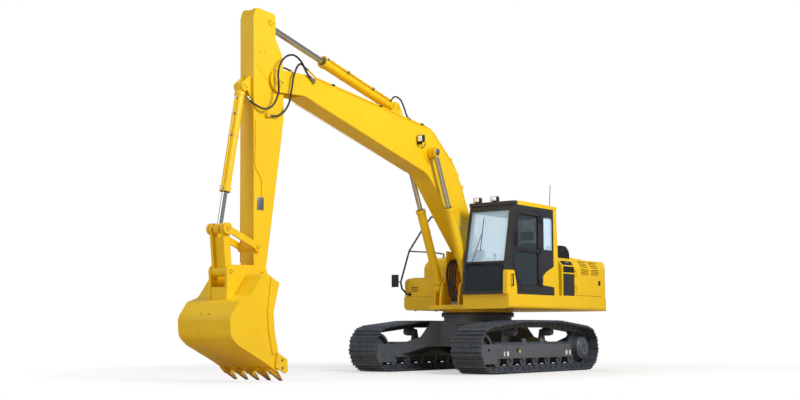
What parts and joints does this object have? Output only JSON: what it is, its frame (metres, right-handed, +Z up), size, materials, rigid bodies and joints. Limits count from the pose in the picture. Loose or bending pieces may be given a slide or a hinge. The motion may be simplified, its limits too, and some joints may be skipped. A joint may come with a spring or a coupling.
{
  "type": "crawler excavator",
  "caption": "Crawler excavator with a one-piece boom, arm, toothed bucket, enclosed cab and a turning upper structure on steel tracks.",
  "frame": {"origin": "on the ground under the centre of the swing bearing", "axes": "+X forward along the boom, +Y to the cab's side, +Z up"},
  "size_m": [9.6293, 2.842, 5.4466],
  "materials": {
    "yellow_paint": "semi-gloss enamel over welded plate",
    "charcoal_paint": "satin dark grey enamel",
    "black_paint": "satin black enamel",
    "track_steel": "dark forged steel, painted dark grey",
    "bearing_steel": "dark oiled steel",
    "engine_iron": "plain casting",
    "rod_chrome": "ground and plated",
    "hose_rubber": "smooth black",
    "black_plastic": "moulded, matt",
    "seat_cloth": "woven dark grey",
    "window_glass": "clear with a slight tint"
  },
  "bodies": {
    "undercarriage": {"carbody": "charcoal_paint", "track_frame_left": "charcoal_paint", "track_frame_right": "charcoal_paint", "track_left": "track_steel", "track_right": "track_steel", "idlers": "charcoal_paint", "sprockets": "charcoal_paint", "rollers": "charcoal_paint", "swing_bearing": "bearing_steel"},
    "upper": {"revolving_frame": "yellow_paint", "counterweight": "yellow_paint", "lifting_eyes": "yellow_paint", "side_grille": "black_paint", "cab_corner": "yellow_paint", "cab_post": "yellow_paint", "engine_block": "engine_iron", "engine_housing": "yellow_paint", "intake_cowl": "black_plastic", "exhaust": "charcoal_paint", "fuel_tank": "yellow_paint", "hydraulic_tank": "yellow_paint", "tool_box": "yellow_paint", "handrail": "black_paint", "cab_frame": "black_paint", "cab_roof": "yellow_paint", "cab_glass": "window_glass", "seat": "seat_cloth", "consoles": "black_plastic", "cab_lights": "black_plastic", "boom_foot_hoses": "hose_rubber"},
    "hood": {"engine_hood": "yellow_paint"},
    "louvred_door": {"left_door": "yellow_paint"},
    "pump_door": {"right_door": "yellow_paint"},
    "box_lid": {"tool_box_lid": "yellow_paint"},
    "door": {"cab_door": "black_paint", "door_glass": "window_glass"},
    "boom": {"boom": "yellow_paint", "boom_pipes": "yellow_paint", "boom_light": "black_plastic", "arm_hoses": "hose_rubber"},
    "boom_barrels": {"boom_barrels": "yellow_paint"},
    "boom_rods": {"boom_rods": "rod_chrome"},
    "arm_barrel": {"arm_barrel": "yellow_paint"},
    "arm_rod": {"arm_rod": "rod_chrome"},
    "arm": {"arm": "yellow_paint"},
    "bucket_barrel": {"bucket_barrel": "yellow_paint"},
    "bucket_rod": {"bucket_rod": "rod_chrome"},
    "levers": {"bucket_levers": "yellow_paint"},
    "link": {"bucket_link": "yellow_paint"},
    "bucket": {"bucket": "yellow_paint", "bucket_teeth": "yellow_paint"}
  },
  "joints": [
    {"name": "swing", "type": "hinge", "parent": "undercarriage", "child": "upper", "pos_m": [0, 0, 1.05], "axis": [0, 0, 1], "continuous": true},
    {"name": "boom_lift", "type": "hinge", "parent": "upper", "child": "boom", "pos_m": [0.34, 0, 1.94], "axis": [0, -1, 0], "range_deg": [-70, 34], "deforming": ["boom_foot_hoses"]},
    {"name": "boom_barrels_pivot", "type": "hinge", "parent": "upper", "child": "boom_barrels", "pos_m": [0.76, 0, 1.48], "axis": [0, -1, 0], "range_deg": [-69.45, 34.5]},
    {"name": "boom_rods_slide", "type": "slide", "parent": "boom_barrels", "child": "boom_rods", "axis": [0.3939, 0, 0.9191], "range_m": [-0.6947, 0.3477]},
    {"name": "arm_crowd", "type": "hinge", "parent": "boom", "child": "arm", "pos_m": [5.54, 0, 4.42], "axis": [0, 1, 0], "range_deg": [-70, 31], "deforming": ["arm_hoses"]},
    {"name": "arm_barrel_pivot", "type": "hinge", "parent": "boom", "child": "arm_barrel", "pos_m": [2.55, 0, 4.484], "axis": [0, 1, 0], "range_deg": [-1.75, 1.33]},
    {"name": "arm_rod_slide", "type": "slide", "parent": "arm_barrel", "child": "arm_rod", "axis": [0.969, 0, 0.247], "range_m": [-1.0572, 0.4793]},
    {"name": "bucket_curl", "type": "hinge", "parent": "arm", "child": "bucket", "pos_m": [5.86, 0, 1.55], "axis": [0, 1, 0], "range_deg": [-35, 110]},
    {"name": "levers_pivot", "type": "hinge", "parent": "arm", "child": "levers", "pos_m": [5.934, 0, 1.921], "axis": [0, 1, 0], "range_deg": [-32.19, 97.95]},
    {"name": "link_pivot", "type": "hinge", "parent": "levers", "child": "link", "pos_m": [6.54, 0, 2.15], "axis": [0, 1, 0], "range_deg": [-53.24, 17.96]},
    {"name": "bucket_barrel_pivot", "type": "hinge", "parent": "arm", "child": "bucket_barrel", "pos_m": [6.154, 0, 4.249], "axis": [0, 1, 0], "range_deg": [-3.6, 9.19]},
    {"name": "bucket_rod_slide", "type": "slide", "parent": "bucket_barrel", "child": "bucket_rod", "axis": [0.1809, 0, -0.9835], "range_m": [-0.2893, 0.8662]},
    {"name": "cab_door_hinge", "type": "hinge", "parent": "upper", "child": "door", "pos_m": [0, 1.364, 2.1], "axis": [0, 0, 1], "range_deg": [0, 170]},
    {"name": "engine_hood_hinge", "type": "hinge", "parent": "upper", "child": "hood", "pos_m": [-2.239, 0, 2.086], "axis": [0, -1, 0], "range_deg": [0, 75]},
    {"name": "left_door_hinge", "type": "hinge", "parent": "upper", "child": "louvred_door", "pos_m": [-1.265, 1.369, 1.7], "axis": [0, 0, -1], "range_deg": [0, 110]},
    {"name": "right_door_hinge", "type": "hinge", "parent": "upper", "child": "pump_door", "pos_m": [-1.265, -1.369, 1.7], "axis": [0, 0, 1], "range_deg": [0, 110]},
    {"name": "tool_box_lid_hinge", "type": "hinge", "parent": "upper", "child": "box_lid", "pos_m": [-0.124, 0, 1.718], "axis": [0, -1, 0], "range_deg": [0, 80]}
  ],
  "couplings": [
    {"joint": "boom_barrels_pivot", "follows": "boom_lift", "ratio": 0.97069},
    {"joint": "boom_rods_slide", "follows": "boom_lift", "m_per_rad": 0.55229},
    {"joint": "arm_barrel_pivot", "follows": "arm_crowd", "ratio": 0.01076},
    {"joint": "arm_rod_slide", "follows": "arm_crowd", "m_per_rad": 0.84898},
    {"joint": "levers_pivot", "follows": "bucket_curl", "ratio": 0.87682},
    {"joint": "link_pivot", "follows": "bucket_curl", "ratio": -0.47037},
    {"joint": "bucket_barrel_pivot", "follows": "bucket_curl", "ratio": 0.07441},
    {"joint": "bucket_rod_slide", "follows": "bucket_curl", "m_per_rad": 0.44077}
  ]
}
